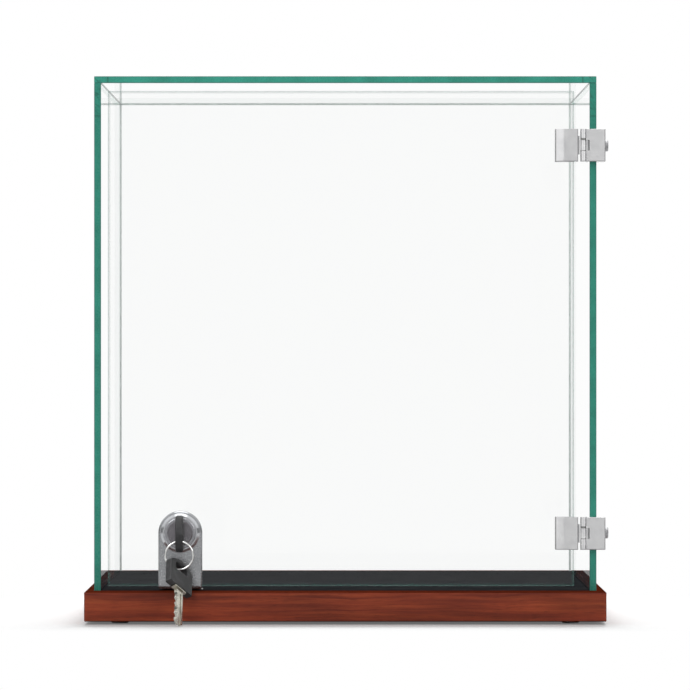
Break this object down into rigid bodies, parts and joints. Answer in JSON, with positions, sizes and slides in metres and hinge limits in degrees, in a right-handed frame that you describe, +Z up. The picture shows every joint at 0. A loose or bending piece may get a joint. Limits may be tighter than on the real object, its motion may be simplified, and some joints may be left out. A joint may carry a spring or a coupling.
{
  "type": "countertop display case",
  "caption": "Frameless glass countertop display case on a wood base, with a hinged glass front door, clamp hinges, a clamp-on key lock and its keys.",
  "frame": {"origin": "on the counter, at the level of the feet, under the middle of the base board", "axes": "+Z up, -Y out of the glass door at the front, +X to the right as seen from the front, where the door is hinged"},
  "size_m": [0.3646, 0.3946, 0.381],
  "materials": {
    "wood": "satin lacquer over reddish-brown grain",
    "rubber": "matte black rubber",
    "glass": "clear polished plate glass with green edges",
    "deck": "matte black laminate",
    "strike": "satin",
    "screw_steel": "satin",
    "satin_metal": "satin nickel",
    "pin_steel": "ground steel",
    "washer": "smooth grey nylon",
    "pad": "translucent grey pad",
    "chrome": "polished",
    "lock_zinc": "die-cast zinc, satin plated",
    "plug_metal": "polished, darker than the bezel",
    "ring_steel": "polished wire",
    "key_steel": "nickel plated",
    "key_plastic": "moulded black plastic"
  },
  "bodies": {
    "case": {"base_board": "wood", "rubber_feet": "rubber", "left_glass_panel": "glass", "right_glass_panel": "glass", "back_glass_panel": "glass", "top_glass_panel": "glass", "deck_panel": "deck", "strike_plate": "strike", "strike_screws": "screw_steel", "upper_hinge_side_leaf": "satin_metal", "lower_hinge_side_leaf": "satin_metal", "upper_hinge_pin": "pin_steel", "lower_hinge_pin": "pin_steel", "hinge_washers": "washer", "hinge_clamp_screws": "satin_metal", "side_hinge_pads": "pad"},
    "door": {"door_glass": "glass", "upper_hinge_door_leaf": "satin_metal", "lower_hinge_door_leaf": "satin_metal", "hinge_set_screws": "screw_steel", "door_hinge_pads": "pad", "lock_bracket": "chrome", "lock_pads": "pad", "lock_bezel": "chrome", "cylinder_housing": "chrome", "lock_body": "lock_zinc", "lock_body_cover": "lock_zinc", "cover_screws": "screw_steel"},
    "plug": {"lock_plug": "plug_metal", "lock_cam": "screw_steel", "cam_screws": "screw_steel"},
    "bolt": {"lock_bolt": "screw_steel"},
    "key": {"key_blade": "key_steel", "key_bow": "key_plastic"},
    "ring": {"split_ring": "ring_steel"},
    "spare_key": {"spare_key_blade": "key_steel", "spare_key_bow": "key_plastic"}
  },
  "joints": [
    {"name": "door_hinge", "type": "hinge", "parent": "case", "child": "door", "pos_m": [0.1658, -0.1607, 0.19825], "axis": [0, 0, 1], "range_deg": [0, 105]},
    {"name": "lock_turn", "type": "hinge", "parent": "door", "child": "plug", "pos_m": [-0.115, -0.1654, 0.0628], "axis": [0, 1, 0], "range_deg": [0, 90]},
    {"name": "bolt_slide", "type": "slide", "parent": "door", "child": "bolt", "axis": [0, 0, -1], "range_m": [0, 0.00646]},
    {"name": "key_pull", "type": "slide", "parent": "plug", "child": "key", "axis": [0, -1, 0], "range_m": [0, 0.03]},
    {"name": "ring_hang", "type": "hinge", "parent": "key", "child": "ring", "pos_m": [-0.115, -0.18335, 0.0533], "axis": [0, 1, 0], "range_deg": [-91, 1]},
    {"name": "spare_key_swing", "type": "hinge", "parent": "ring", "child": "spare_key", "pos_m": [-0.115, -0.18335, 0.03835], "axis": [-1, 0, 0], "range_deg": [0, 60]}
  ],
  "couplings": [
    {"joint": "bolt_slide", "follows": "lock_turn", "m_per_rad": 0.0040514},
    {"joint": "ring_hang", "follows": "lock_turn", "ratio": -1}
  ]
}
